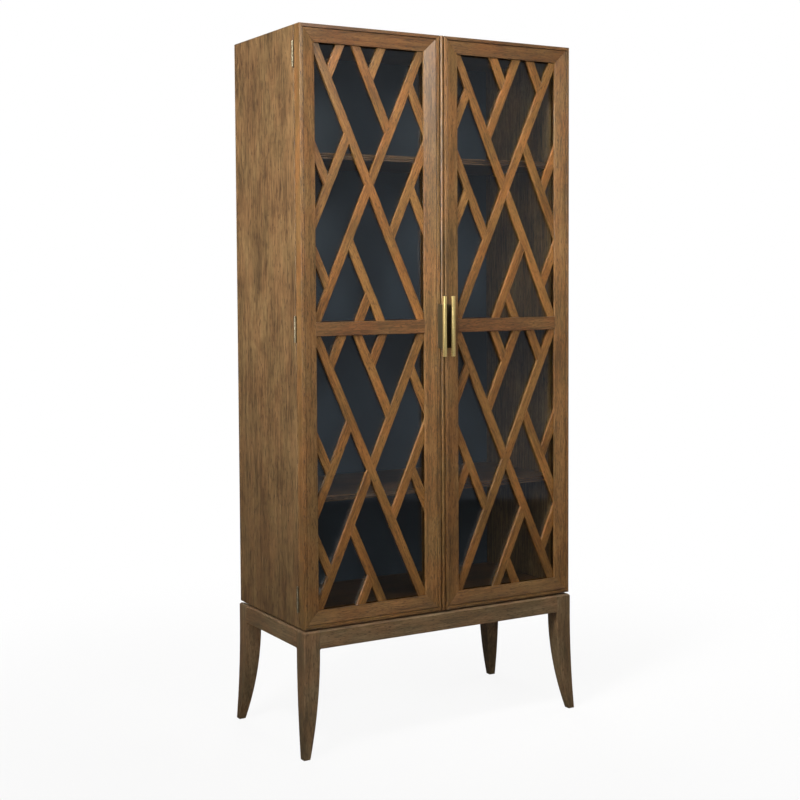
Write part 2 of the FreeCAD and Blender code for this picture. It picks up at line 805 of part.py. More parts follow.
# Magnetic catches under the case top, and the steel plates they hold on the doors
def catches():
    half = "catch_centre - catch_width / 2"
    block = box("catch_block", (half, "case_front", "case_top - top_thickness - catch_height"),
                ("catch_width", "catch_depth", "catch_height"))
    pole = box("catch_pole", ("catch_centre - plate_width / 2", "case_front - pole_reach",
                              "case_top - top_thickness - (catch_height + pole_height) / 2"),
               ("plate_width", "pole_reach", "pole_height"))
    both_hands("catches", join("catch", [block, pole]), [(0, 0, 0)])


def catch_plate():
    plate = box("left_catch_plate", ("-catch_centre - plate_width / 2", "door_back",
                                     "case_top - top_thickness - (catch_height + plate_height) / 2"),
                ("plate_width", "plate_thickness", "plate_height"))
    return keep(plate, "left_catch_plate")


# Legs: sawn to the same sabre curve in both faces, chamfered at the top, mortised for the aprons
def leg():
    body = new_body("leg_front_left")
    front = new_sketch(body, "XZ_Plane", "foot_splay")
    draw(front, [("0", "apron_bottom"), ("0", "base_height - base_chamfer"),
                 ("base_chamfer", "base_height"), ("leg_width", "base_height"),
                 ("leg_width", "apron_bottom"),
                 ("foot_width - foot_splay", "foot_chamfer"),
                 ("foot_width - foot_splay - foot_chamfer", "0"),
                 ("-foot_splay + foot_chamfer", "0"), ("-foot_splay", "foot_chamfer")],
         {4: ("inner_sweep", 1), 8: ("outer_sweep", -1)})
    pad(body, front, "foot_splay + leg_width", flip=True)
    side = new_sketch(body, "YZ_Plane")
    draw(side, [("-foot_splay - overrun", "-overrun"), ("-foot_splay + foot_chamfer", "-overrun"),
                ("-foot_splay + foot_chamfer", "0"), ("-foot_splay", "foot_chamfer"),
                ("0", "apron_bottom"), ("0", "base_height - base_chamfer"),
                ("base_chamfer", "base_height"), ("base_chamfer", "base_height + overrun"),
                ("-foot_splay - overrun", "base_height + overrun")],
         {3: ("outer_sweep", -1)})
    draw(side, [("leg_width + overrun", "-overrun"), ("leg_width + overrun", "apron_bottom"),
                ("leg_width", "apron_bottom"), ("foot_width - foot_splay", "foot_chamfer"),
                ("foot_width - foot_splay - foot_chamfer", "0"),
                ("foot_width - foot_splay - foot_chamfer", "-overrun")],
         {2: ("inner_sweep", 1)})
    pocket(body, side)
    for plane, offset, flip in (("YZ_Plane", "leg_width", False), ("XZ_Plane", "-leg_width", True)):
        mortise = new_sketch(body, plane, offset)
        draw(mortise, rectangle("tenon_inset - glue_gap", "apron_bottom + tenon_shoulder - glue_gap",
                                "tenon_inset + tenon_thickness + glue_gap",
                                "base_height - tenon_shoulder + glue_gap"))
        pocket(body, mortise, "tenon_length + glue_gap", flip=flip)
    place(body, ("-base_half", "base_front", "0"))
    return keep(body, "leg_front_left")


# Aprons: straight rails tenoned into the legs, eased into them by a small curve under each end
def apron(label, length, corner, turn):
    body = new_body(label)
    face = new_sketch(body, "XZ_Plane")
    draw(face, [("0", "-apron_ear"), ("0", "apron_height"), (length, "apron_height"),
                (length, "-apron_ear"), (f"{length} - apron_ear", "0"), ("apron_ear", "0")],
         {3: ("apron_ear", -1), 5: ("apron_ear", -1)})
    pad(body, face, "apron_thickness", flip=True)
    chamfer = new_sketch(body, "YZ_Plane")
    draw(chamfer, [("0", "apron_height - base_chamfer"), ("base_chamfer", "apron_height"),
                   ("base_chamfer", "apron_height + overrun"), ("-overrun", "apron_height + overrun"),
                   ("-overrun", "apron_height - base_chamfer")])
    pocket(body, chamfer)
    tenons = new_sketch(body, "XZ_Plane", "-tenon_inset")
    draw(tenons, rectangle("-tenon_length", "tenon_shoulder", f"{length} + tenon_length",
                           "apron_height - tenon_shoulder"))
    pad(body, tenons, "tenon_thickness", flip=True)
    place(body, corner, (0, 0, 1), turn)
    return keep(body, label)


# Deck: a board let in between the aprons and notched round the legs. It stands a little above them, so
# that the case floats over the base on a shadow line
def deck():
    body = new_body("deck_board")
    board = new_sketch(body, "XY_Plane")
    far_x, far_y = "base_half - apron_thickness", "base_depth / 2 - apron_thickness"
    in_x, in_y = "base_half - leg_width", "base_depth / 2 - leg_width"
    draw(board, [(f"-({far_x})", f"-({in_y})"), (f"-({in_x})", f"-({in_y})"),
                 (f"-({in_x})", f"-({far_y})"), (in_x, f"-({far_y})"),
                 (in_x, f"-({in_y})"), (far_x, f"-({in_y})"),
                 (far_x, in_y), (in_x, in_y), (in_x, far_y),
                 (f"-({in_x})", far_y), (f"-({in_x})", in_y), (f"-({far_x})", in_y)])
    pad(body, board, "deck_thickness")
    place(body, ("0", "base_middle", "case_bottom - deck_thickness"))
    return drill(body, "deck", [case_bolts("deck_holes", "bolt_clearance")])


# Corner blocks under the deck, glued to the aprons and legs
def corner_blocks():
    body = new_body("corner_block")
    plan = new_sketch(body, "XY_Plane")
    draw(plan, [("apron_thickness", "leg_width"), ("leg_width", "leg_width"),
                ("leg_width", "apron_thickness"), ("block_reach", "apron_thickness"),
                ("apron_thickness", "block_reach")])
    pad(body, plan, "block_height")
    place(body, ("-base_half", "base_front", "case_bottom - deck_thickness - block_height"))
    doc.recompute()
    middle = FreeCAD.Vector(0, size("base_middle"), 0)
    left = body.Shape.Solids + body.Shape.mirror(middle, FreeCAD.Vector(0, 1, 0)).Solids
    piece = doc.addObject("Part::Feature", "corner_blocks")
    piece.Shape = Part.makeCompound(both_sides(left))
    return keep(piece, "corner_blocks")


# Bolts up through the deck into the case bottom
def case_bolts(name, clearance="0"):
    head = rod(name + "_head", "bolt_head_radius", "bolt_head_height", ("0", "0", "-bolt_head_height"))
    shank = rod(name + "_shank", f"bolt_radius + {clearance}", "deck_thickness + bolt_bite",
                ("0", "0", "0"))
    reach, low = size("bolt_spread / 2"), size("case_bottom - deck_thickness")
    backs = (size("case_front + bolt_inset"), size("case_front + case_depth - bolt_inset"))
    spots = [(side * reach, back, low) for side in (-1, 1) for back in backs]
    return spread(name, join(name + "_single", [head, shank]), spots)


# Put the case together
mirror(side_panel(), "side_panel_right")
top_panel()
bottom_panel()
back_panel()
shelf("shelf_lower", "- shelf_pitch")
shelf("shelf_middle", "")
shelf("shelf_upper", "+ shelf_pitch")
pin_pair = [shelf_pin("pin_left", "-", 90), shelf_pin("pin_right", "", -90)]
copies("shelf_pins", group("shelf_pin_pair", pin_pair), shelf_pin_spots())
catches()

# Put the left door together, then mirror it for the right
top_rail = door_member("top_rail", "door_width", ("-half_width", "door_front", "case_top"), 90)
bottom_rail = door_member("bottom_rail", "door_width", ("-meeting_edge", "door_front", "case_bottom"), -90)
left_door = [hinge_stile(), meeting_stile(), keep(top_rail, "left_top_rail"),
             keep(bottom_rail, "left_bottom_rail"), mid_rail()]
left_door += fret("upper", "upper_open_bottom")
left_door += fret("lower", "lower_open_bottom")
left_door += [glass(), glass_beads(), pull_grip(), pull_web(), catch_plate(),
              copies("left_pull_screws", pull_screw("pull_screw"), pull_screw_spots())]
left_door += hinges()
for piece in left_door:
    mirror(piece, piece.Label.replace("left", "right"))
meeting_strip()

# Put the base together
front_leg = leg()
mirror(front_leg, "leg_front_right")
rear_leg = mirror(front_leg, "leg_rear_left", (0, 1, 0), "base_middle")
mirror(rear_leg, "leg_rear_right")
front_apron = apron("apron_front", "2 * (base_half - leg_width)",
                    ("-base_half + leg_width", "base_front", "apron_bottom"), 0)
mirror(front_apron, "apron_rear", (0, 1, 0), "base_middle")
left_apron = apron("apron_left", "base_depth - 2 * leg_width",
                   ("-base_half", "base_front + base_depth - leg_width", "apron_bottom"), -90)
mirror(left_apron, "apron_right")
deck()
corner_blocks()
keep(case_bolts("case_bolts"), "case_bolts")

# Check every object, then write one file for each piece
doc.recompute()
for thing in doc.Objects:
    if "Invalid" in thing.State or "Error" in thing.State:
        raise RuntimeError(f"{thing.Label} did not compute: {thing.State}")
os.makedirs("parts", exist_ok=True)
for piece in nodes:
    if piece.Shape.isNull() or not piece.Shape.isValid() or not piece.Shape.Solids:
        raise RuntimeError(f"{piece.Label} has no valid solid")
for piece in nodes:
    piece.Shape.exportStep(f"parts/{piece.Label}.step")
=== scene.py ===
import json
import math
import random

import bmesh
import bpy
from mathutils import Matrix, Vector


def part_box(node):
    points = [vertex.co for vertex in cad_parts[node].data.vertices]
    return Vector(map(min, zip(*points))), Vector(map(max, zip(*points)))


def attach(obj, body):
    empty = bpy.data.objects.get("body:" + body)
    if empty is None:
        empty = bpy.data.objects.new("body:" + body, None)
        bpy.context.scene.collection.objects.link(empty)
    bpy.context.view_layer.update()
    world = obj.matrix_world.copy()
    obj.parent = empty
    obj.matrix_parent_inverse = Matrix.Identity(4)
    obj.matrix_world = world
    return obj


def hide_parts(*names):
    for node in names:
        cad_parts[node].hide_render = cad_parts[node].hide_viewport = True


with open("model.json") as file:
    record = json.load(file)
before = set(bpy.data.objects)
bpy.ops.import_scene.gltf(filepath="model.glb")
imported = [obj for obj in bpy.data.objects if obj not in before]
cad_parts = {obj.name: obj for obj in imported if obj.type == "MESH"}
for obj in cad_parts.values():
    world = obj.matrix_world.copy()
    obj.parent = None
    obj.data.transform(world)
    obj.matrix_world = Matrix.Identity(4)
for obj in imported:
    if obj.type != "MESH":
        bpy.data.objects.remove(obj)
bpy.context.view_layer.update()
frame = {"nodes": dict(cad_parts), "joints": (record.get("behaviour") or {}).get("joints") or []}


# Case: sides and top
# Veneered boards, mitred where the sides meet the top. The face is straight-grained walnut veneer with
# small open pores, stained brown, speckled by hand with a darker stain, and lacquered to a low sheen.
mm = 0.001
case_light, case_middle, case_dark = "#7B6140", "#61492E", "#3D2C1B"
case_pore, case_speck = "#2A1A10", "#1E130C"
up = Vector((0.0, 0.0, 1.0))
to_the_back = Vector((0.0, 1.0, 0.0))


def linear(colour):
    """An sRGB hex colour as the linear values that a shader takes."""
    levels = [int(colour[start:start + 2], 16) / 255 for start in (1, 3, 5)]
    return [v / 12.92 if v <= 0.04045 else ((v + 0.055) / 1.055) ** 2.4 for v in levels] + [1]


def grey(level):
    """An even mix of red, green and blue."""
    return [level, level, level, 1]


def add(tree, kind, settings=(), links=(), stops=()):
    """Add a node, set its properties, sockets and colour stops, and link its inputs."""
    node = tree.nodes.new(kind)
    for name, value in dict(settings).items():
        if isinstance(name, str) and hasattr(node, name):
            setattr(node, name, value)
        else:
            node.inputs[name].default_value = value
    for name, source in dict(links).items():
        tree.links.new(source, node.inputs[name])
    if stops:
        points = node.color_ramp.elements
        points[0].position, points[0].color = stops[0]
        points[1].position, points[1].color = stops[-1]
        for place, colour in stops[1:-1]:
            points.new(place).color = colour
    return node


def new_material(name, **settings):
    """A material with only the constant values of its shader set."""
    material = bpy.data.materials.new(name)
    material.use_nodes = True
    shader = material.node_tree.nodes["Principled BSDF"]
    for socket, value in settings.items():
        shader.inputs[socket.replace("_", " ")].default_value = value
    return material, material.node_tree, shader


def streaks(tree, source, across, along, detail=3, roughness=0.55, distortion=0.0):
    """Noise drawn out along the grain, from a width and a length in metres."""
    stretched = add(tree, "ShaderNodeMapping", {"Scale": (1 / across, 1 / across, 1 / along)},
                    {"Vector": source})
    noise = add(tree, "ShaderNodeTexNoise",
                {"Scale": 1, "Detail": detail, "Roughness": roughness, "Distortion": distortion},
                {"Vector": stretched.outputs["Vector"]})
    return noise.outputs["Fac"]


def stained_wood(name, light, middle, dark, pore, sheen, figure=18 * mm, coarse=1, redder=1.0, speck=None):
    """Open-pored wood under stain and satin lacquer. It shows soft bands of figure, fine streaks of fibre,
    short dark pores along the grain and a slow drift from a redder to an olive brown. Painted shade darkens
    the colour in the corners of the mouldings and where parts meet, and the lacquer dips a little into the
    pores."""
    material, tree, shader = new_material(name, IOR=1.45, Coat_Weight=0.15, Coat_Roughness=0.3,
                                          Coat_IOR=1.45)
    grain = add(tree, "ShaderNodeAttribute", {"attribute_name": "grain"}).outputs["Vector"]
    bands = streaks(tree, grain, figure, 420 * mm, distortion=0.7)
    # Fibres are under a millimetre wide, but are drawn 3 mm wide or more, so that they show at this distance
    fibre = streaks(tree, grain, coarse * 3 * mm, coarse * 42 * mm, roughness=0.65)
    # Pores, likewise drawn at least twice their real width
    pores = streaks(tree, grain, coarse * 1.8 * mm, coarse * 14 * mm, detail=1, roughness=0.5)
    blotch = streaks(tree, grain, 90 * mm, 200 * mm, detail=2)
    fibre_share, band_share, blotch_share = 0.56, 0.32, 0.26
    layers = add(tree, "ShaderNodeCombineXYZ", links={0: fibre, 1: bands, 2: blotch})
    tone = add(tree, "ShaderNodeVectorMath",
               {"operation": "DOT_PRODUCT", 1: (fibre_share, band_share, blotch_share)},
               {0: layers.outputs[0]})
    body = add(tree, "ShaderNodeValToRGB", links={"Fac": tone.outputs["Value"]},
               stops=[(0.45, linear(dark)), (0.57, linear(middle)), (0.69, linear(light))])
    drift = streaks(tree, grain, 60 * mm, 130 * mm, detail=2)
    red_tint = [1 + 0.1 * redder, 1 - 0.03 * redder, 1 - 0.13 * redder, 1]
    olive_tint = [0.97, 1.01, 0.97, 1]
    tint = add(tree, "ShaderNodeValToRGB", links={"Fac": drift}, stops=[(0.38, red_tint), (0.62, olive_tint)])
    warmed = add(tree, "ShaderNodeMix", {"data_type": "RGBA", "blend_type": "MULTIPLY", 0: 1.0},
                 {6: body.outputs["Color"], 7: tint.outputs["Color"]})
    pitted = add(tree, "ShaderNodeValToRGB", links={"Fac": pores},
                 stops=[(0.34, grey(0.75)), (0.43, grey(0))]).outputs["Color"]
    coloured = add(tree, "ShaderNodeMix", {"data_type": "RGBA", 7: linear(pore)},
                   {0: pitted, 6: warmed.outputs[2]})
    colour = coloured.outputs[2]
    if speck:
        # Specks of 2 or 3 mm, drawn 4 mm wide so that they show, and 40 mm or more apart
        cells = add(tree, "ShaderNodeTexVoronoi", {"Scale": 1 / (40 * mm), "Randomness": 1},
                    {"Vector": grain})
        dots = add(tree, "ShaderNodeValToRGB", links={"Fac": cells.outputs["Distance"]},
                   stops=[(0.045, grey(0.8)), (0.07, grey(0))])
        spotted = add(tree, "ShaderNodeMix", {"data_type": "RGBA", 7: linear(speck)},
                      {0: dots.outputs["Color"], 6: colour})
        colour = spotted.outputs[2]
    # Painted shade: ambient occlusion darkens the colour in corners, grooves and where parts meet
    occlusion_for_painted_shade = add(tree, "ShaderNodeAmbientOcclusion", {"samples": 6, "Distance": 2.5 * mm})
    painted_corner_shade = add(tree, "ShaderNodeValToRGB", links={"Fac": occlusion_for_painted_shade.outputs["AO"]},
                  stops=[(0.3, grey(0.25)), (0.85, grey(1.0))])
    colour_with_painted_shade = add(tree, "ShaderNodeMix", {"data_type": "RGBA", "blend_type": "MULTIPLY", 0: 1.0},
                 {6: colour, 7: painted_corner_shade.outputs["Color"]})
    tree.links.new(colour_with_painted_shade.outputs[2], shader.inputs["Base Color"])
    gloss = add(tree, "ShaderNodeMapRange", {"To Min": sheen - 0.06, "To Max": sheen + 0.12},
                {"Value": fibre})
    tree.links.new(gloss.outputs["Result"], shader.inputs["Roughness"])
    relief = add(tree, "ShaderNodeMath", {"operation": "SUBTRACT"}, {0: fibre, 1: pitted})
    bump = add(tree, "ShaderNodeBump", {"Strength": 0.25, "Distance": 0.12 * mm},
               {"Height": relief.outputs[0]})
    tree.links.new(bump.outputs["Normal"], shader.inputs["Normal"])
    tree.links.new(bump.outputs["Normal"], shader.inputs["Coat Normal"])
    return material


def boards_of(shape):
    """The separate boards in a mesh, each as a list of its points."""
    found = set()
    for first in shape.verts:
        if first in found:
            continue
        board, edge_on = [], [first]
        found.add(first)
        while edge_on:
            point = edge_on.pop()
            board.append(point)
            for edge in point.link_edges:
                other = edge.other_vert(point)
                if other not in found:
                    found.add(other)
                    edge_on.append(other)
        yield board


def middle_of(board):
    """The mean of a board's points, to the millimetre, which puts the boards in a fixed order."""
    mean = sum((point.co for point in board), Vector()) / len(board)
    return tuple(round(value, 3) for value in mean)


def write_grain(shape, seed, way=None):
    """Give each board its own piece of the tree: places across and along its grain, in metres."""
    layer = shape.verts.layers.float_vector.new("grain")
    chance = random.Random(seed)
    for board in sorted(boards_of(shape), key=middle_of):
        edges = dict.fromkeys(edge for point in board for edge in point.link_edges)
        longest = max(edges, key=lambda edge: round(edge.calc_length(), 5))
        along = way or (longest.verts[1].co - longest.verts[0].co).normalized()
        # The same way up in every run: upwards, or to the right where the board lies flat
        if along.z + 0.3 * along.x + 0.2 * along.y < 0:
            along = -along
        across = along.cross(to_the_back if abs(along.y) < 0.5 else up)
        across.normalize()
        through = along.cross(across)
        start = Vector([chance.uniform(2, 9) for axis in range(3)])
        for point in board:
            point[layer] = start + Vector((point.co.dot(across), point.co.dot(through), point.co.dot(along)))


def new_piece(shape, name, body, slot, material, *nodes):
    """Turn a finished mesh into a piece that stands for CAD nodes and moves with a body."""
    mesh = bpy.data.meshes.new(name)
    for face in shape.faces:
        face.smooth = True
    shape.to_mesh(mesh)
    shape.free()
    mesh.materials.append(material)
    piece = bpy.data.objects.new(name, mesh)
    bpy.context.scene.collection.objects.link(piece)
    shading = piece.modifiers.new("shading", "WEIGHTED_NORMAL")
    shading.keep_sharp = True
    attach(piece, body)
    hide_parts(*nodes)


def joinery(node, body, slot, material, ease, way=None, steps=2):
    """A CAD piece of wood or metal with its sharp edges eased and its grain laid out."""
    shape = bmesh.new()
    shape.from_mesh(frame["nodes"][node].data)
    bmesh.ops.remove_doubles(shape, verts=shape.verts, dist=0.01 * mm)
    bmesh.ops.dissolve_limit(shape, angle_limit=math.radians(0.5), verts=shape.verts, edges=shape.edges)
    # A corner sharper than this is eased, unless its edge is too short to take the rounding
    sharp_angle, shortest = math.radians(25), 5 * ease
    sharp = [edge for edge in shape.edges
             if len(edge.link_faces) == 2 and edge.calc_length() > shortest
             and edge.calc_face_angle() > sharp_angle]
    bmesh.ops.bevel(shape, geom=sharp, offset=ease, segments=steps, profile=0.5, affect="EDGES")
    write_grain(shape, node, way)
    new_piece(shape, node + "_piece", body, slot, material, node)


# The sides are seen at a slant, so their figure is drawn finer and their fibre coarser than on the doors
case_veneer = stained_wood("walnut veneer, stained and lacquered", case_light, case_middle, case_dark,
                           case_pore, sheen=0.40, figure=7 * mm, coarse=1.6, redder=0.4, speck=case_speck)
for node in ("side_panel_left", "side_panel_right", "top_panel"):
    joinery(node, "case", "case_veneer", case_veneer, ease=0.8 * mm)

# Case: bottom and back
# The bottom is a board housed in the sides. The back is a thin board in rabbets, sprayed with a matt
# charcoal paint that has a breath of blue in it, and shows a faint orange peel.
back_colour, back_shade = "#2D3846", "#262F3B"
shelf_light, shelf_middle, shelf_dark, shelf_pore = "#745338", "#59402B", "#3B2A1C", "#22160E"

# The same stained walnut as the case, a little redder and darker, as boards out of the light look
shelf_wood = stained_wood("walnut shelf board, stained and lacquered", shelf_light, shelf_middle, shelf_dark,
                          shelf_pore, sheen=0.42)
joinery("bottom_panel", "case", "shelf_walnut", shelf_wood, ease=0.6 * mm)

back_paint, tree, shader = new_material("charcoal paint, sprayed matt", IOR=1.5)
place = add(tree, "ShaderNodeTexCoord").outputs["Object"]
drift = add(tree, "ShaderNodeTexNoise", {"Scale": 1 / (300 * mm), "Detail": 2}, {"Vector": place})
# Real orange peel is a millimetre or two wide, and is drawn 8 mm wide so that it shows
peel = add(tree, "ShaderNodeTexNoise", {"Scale": 1 / (8 * mm), "Detail": 1}, {"Vector": place})
coat = add(tree, "ShaderNodeValToRGB", links={"Fac": drift.outputs["Fac"]},
           stops=[(0.35, linear(back_shade)), (0.65, linear(back_colour))])
tree.links.new(coat.outputs["Color"], shader.inputs["Base Color"])
dull = add(tree, "ShaderNodeMapRange", {"To Min": 0.56, "To Max": 0.64}, {"Value": drift.outputs["Fac"]})
tree.links.new(dull.outputs["Result"], shader.inputs["Roughness"])
skin = add(tree, "ShaderNodeBump", {"Strength": 0.04, "Distance": 0.02 * mm},
           {"Height": peel.outputs["Fac"]})
tree.links.new(skin.outputs["Normal"], shader.inputs["Normal"])
joinery("back_panel", "case", "back_paint", back_paint, ease=0.4 * mm)

# Shelves and shelf pins
# Three loose boards with two round grooves along the front edge. Each lies on four brass pins: a round
# peg in the side, and a flat tongue under the board.
shelves = ("shelf_lower", "shelf_middle", "shelf_upper")
peg_radius, peg_depth, peg_round, peg_inset = 2.45 * mm, 10 * mm, 0.4 * mm, 60 * mm
tongue_length, tongue_width, tongue_thickness, tongue_ease = 12 * mm, 9 * mm, 3 * mm, 0.5 * mm
brass_colour, brass_shade = "#D9C48A", "#C5AF72"
to_the_right = Vector((1.0, 0.0, 0.0))

for node in shelves:
    joinery(node, "case", "shelf_walnut", shelf_wood, ease=0.6 * mm, way=to_the_right)


def turned(shape, profile, start, way, count=24):
    """Turn a profile of (distance along the axis, radius) points."""
    way = Vector(way).normalized()
    side = way.orthogonal().normalized()
    other_side = way.cross(side)
    rings = []
    for along, radius in profile:
        middle = Vector(start) + way * along
        angles = [2 * math.pi * step / count for step in range(count)] if radius else [0]
        rings.append([shape.verts.new(middle + (side * math.cos(a) + other_side * math.sin(a)) * radius)
                      for a in angles])
    for low, high in zip(rings, rings[1:]):
        for step in range(count):
            corners = [low[step % len(low)], low[(step + 1) % len(low)],
                       high[(step + 1) % len(high)], high[step % len(high)]]
            corners = list(dict.fromkeys(corners))
            if len(corners) > 2:
                shape.faces.new(corners)


def slab(shape, low, high, ease):
    """A block between two corners, with its edges rounded."""
    block = bmesh.ops.create_cube(shape, size=1)["verts"]
    low, high = Vector(low), Vector(high)
    for point in block:
        point.co = Vector([low[i] if point.co[i] < 0 else high[i] for i in range(3)])
    edges = list(dict.fromkeys(edge for point in block for edge in point.link_edges))
    bmesh.ops.bevel(shape, geom=edges, offset=ease, segments=2, profile=0.5, affect="EDGES")


def satin_metal(name, bright, dull, rough, mottle=5 * mm):
    """Metal rubbed along its length to a satin face: fine hairlines, and a slow drift in tone."""
    material, tree, shader = new_material(name, Metallic=1.0)
    place = add(tree, "ShaderNodeTexCoord").outputs["Object"]
    # Hairlines of 0.05 mm are drawn 0.5 mm wide, so that they show in a close view
    hair = streaks(tree, place, 0.5 * mm, 40 * mm, detail=2)
    cloud = add(tree, "ShaderNodeTexNoise", {"Scale": 1 / mottle, "Detail": 3}, {"Vector": place})
    tone = add(tree, "ShaderNodeValToRGB", links={"Fac": cloud.outputs["Fac"]},
               stops=[(0.3, linear(dull)), (0.7, linear(bright))])
    tree.links.new(tone.outputs["Color"], shader.inputs["Base Color"])
    rub = add(tree, "ShaderNodeMapRange", {"To Min": rough - 0.07, "To Max": rough + 0.1},
              {"Value": hair})
    tree.links.new(rub.outputs["Result"], shader.inputs["Roughness"])
    lines = add(tree, "ShaderNodeBump", {"Strength": 0.1, "Distance": 0.03 * mm}, {"Height": hair})
    tree.links.new(lines.outputs["Normal"], shader.inputs["Normal"])
    return material


# A pale greenish gold with a soft, wide highlight
satin_brass = satin_metal("satin brass", brass_colour, brass_shade, rough=0.50)
pins = bmesh.new()
case_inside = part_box("shelf_pins")[1].x - peg_depth
front_pin, rear_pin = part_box("shelf_middle")[0].y + peg_inset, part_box("shelf_middle")[1].y - peg_inset
# The peg runs a little way into the tongue
peg_end = peg_depth + 2 * mm
for node in shelves:
    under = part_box(node)[0].z
    level = under - tongue_thickness - peg_radius
    for hand in (-1, 1):
        for y in (front_pin, rear_pin):
            turned(pins, [(0, 0), (0, peg_radius - peg_round), (peg_round, peg_radius),
                          (peg_end, peg_radius), (peg_end, 0)],
                   (hand * (case_inside + peg_depth), y, level), (-hand, 0, 0))
            ends = sorted((hand * case_inside, hand * (case_inside - tongue_length)))
            slab(pins, (ends[0], y - tongue_width / 2, level), (ends[1], y + tongue_width / 2, under),
                 tongue_ease)
new_piece(pins, "shelf_pins_piece", "case", "satin_brass", satin_brass, "shelf_pins")

# Magnetic catches
# Two moulded plastic blocks under the top with a steel pole that stands just proud, and the zinc-plated
# plates on the doors that they hold.
zinc_colour, zinc_shade = "#B4B6B8", "#96989B"
plastic_colour, plastic_shade = "#402D21", "#35241A"

# Zinc plate gives a cool, slightly cloudy grey
steel = satin_metal("zinc-plated steel", zinc_colour, zinc_shade, rough=0.34)
# The plastic comes from a spark-eroded mould, which gives it a fine matt grain
moulded, tree, shader = new_material("brown plastic, moulded", IOR=1.5)
place = add(tree, "ShaderNodeTexCoord").outputs["Object"]
spark = add(tree, "ShaderNodeTexNoise", {"Scale": 1 / (0.8 * mm), "Detail": 2}, {"Vector": place})
brown = add(tree, "ShaderNodeValToRGB", links={"Fac": spark.outputs["Fac"]},
            stops=[(0.3, linear(plastic_shade)), (0.7, linear(plastic_colour))])
tree.links.new(brown.outputs["Color"], shader.inputs["Base Color"])
matt = add(tree, "ShaderNodeMapRange", {"To Min": 0.45, "To Max": 0.6}, {"Value": spark.outputs["Fac"]})
tree.links.new(matt.outputs["Result"], shader.inputs["Roughness"])
joinery("catches", "case", "brown_plastic", moulded, ease=0.6 * mm)
for door in ("left", "right"):
    joinery(f"{door}_catch_plate", f"{door}_door", "plain_steel", steel, ease=0.3 * mm)

# Door frames
# Solid walnut stiles and rails with a flat fillet, a small step and a long slope down to the opening,
# mitred at the corners and glued. The cross rail is flat and lies at the foot of the slope.
stile_light, stile_middle, stile_dark, stile_pore = "#7F5F3B", "#694D2D", "#4A3620", "#332418"
rail_light, rail_middle, rail_dark, rail_pore = "#715130", "#5E4126", "#44301D", "#2F2117"
frame_ease = 0.5 * mm

# Rubbed to a closer gloss than the case, so that the slopes catch the light. The top and cross rails take a
# darker copy of the same wood than the other three, as painted shade
stile_wood = stained_wood("walnut stiles, stained and lacquered", stile_light, stile_middle, stile_dark,
                          stile_pore, sheen=0.29, figure=13 * mm)
rail_wood_painted_darker = stained_wood("walnut rails, stained and lacquered", rail_light, rail_middle, rail_dark,
                         rail_pore, sheen=0.30, figure=13 * mm)
# The top and cross rails take the darker copy as painted shade, and the bottom rail takes the stile colours
members = {"hinge_stile": stile_wood, "meeting_stile": stile_wood, "top_rail": rail_wood_painted_darker,
           "bottom_rail": stile_wood, "mid_rail": rail_wood_painted_darker}
for door in ("left", "right"):
    for member, wood in members.items():
        joinery(f"{door}_{member}", f"{door}_door", "frame_walnut", wood, ease=frame_ease)
joinery("meeting_strip", "right_door", "frame_walnut", stile_wood, ease=frame_ease)

# Fretwork
# Flat walnut bars that lean two ways, butted and glued, with the two long bars of a panel halved where
# they cross. Each is its own stick of wood, so that the grain runs along every bar and its tone changes
# a little from bar to bar.
fret_light, fret_middle, fret_dark, fret_pore = "#875F34", "#6F4E28", "#52381D", "#362515"

# The lightest and most golden wood on the cabinet, with the gloss of the frames
fret_wood = stained_wood("walnut bars, stained and lacquered", fret_light, fret_middle, fret_dark,
                         fret_pore, sheen=0.30, figure=16 * mm)
for door in ("left", "right"):
    for level in ("upper", "lower"):
        for lean in ("falling", "rising"):
            joinery(f"{door}_{level}_fret_{lean}", f"{door}_door", "fret_walnut", fret_wood, ease=0.5 * mm)

# Glass and glass beads
# A 3 mm pane of clear float glass lies behind each fretwork panel. Small walnut strips with a chamfered
# edge are pinned behind it. Most light goes straight through, and the faces mirror more at a slant.
glass_tint, glass_index = "#F6F9F8", 1.5
bead_width, bead_depth, bead_chamfer, bead_ease = 7.5 * mm, 6 * mm, 3 * mm, 0.3 * mm
rabbet_width, bead_gap = 8 * mm, 0.5 * mm

clear_glass = bpy.data.materials.new("clear float glass")
clear_glass.use_nodes = True
tree = clear_glass.node_tree
tree.nodes.remove(tree.nodes["Principled BSDF"])
place = add(tree, "ShaderNodeTexCoord").outputs["Object"]
wave = add(tree, "ShaderNodeTexNoise", {"Scale": 1 / (90 * mm), "Detail": 1}, {"Vector": place})
ripple = add(tree, "ShaderNodeBump", {"Strength": 0.04, "Distance": 0.4 * mm},
             {"Height": wave.outputs["Fac"]})
# The rear face mirrors as little as the front one, so its index is turned over
rear = add(tree, "ShaderNodeNewGeometry").outputs["Backfacing"]
index = add(tree, "ShaderNodeMapRange", {"To Min": glass_index, "To Max": 1 / glass_index}, {"Value": rear})
mirrored = add(tree, "ShaderNodeFresnel", links={"IOR": index.outputs["Result"],
                                                 "Normal": ripple.outputs["Normal"]})
haze = add(tree, "ShaderNodeMapRange", {"To Min": 0.02, "To Max": 0.06}, {"Value": wave.outputs["Fac"]})
passed = add(tree, "ShaderNodeBsdfTransparent", {"Color": linear(glass_tint)})
shine = add(tree, "ShaderNodeBsdfGlossy", {"Color": grey(1.0)},
            {"Normal": ripple.outputs["Normal"], "Roughness": haze.outputs["Result"]})
pane = add(tree, "ShaderNodeMixShader", links={0: mirrored.outputs["Fac"], 1: passed.outputs["BSDF"],
                                                2: shine.outputs["BSDF"]})
tree.links.new(pane.outputs[0], tree.nodes["Material Output"].inputs["Surface"])


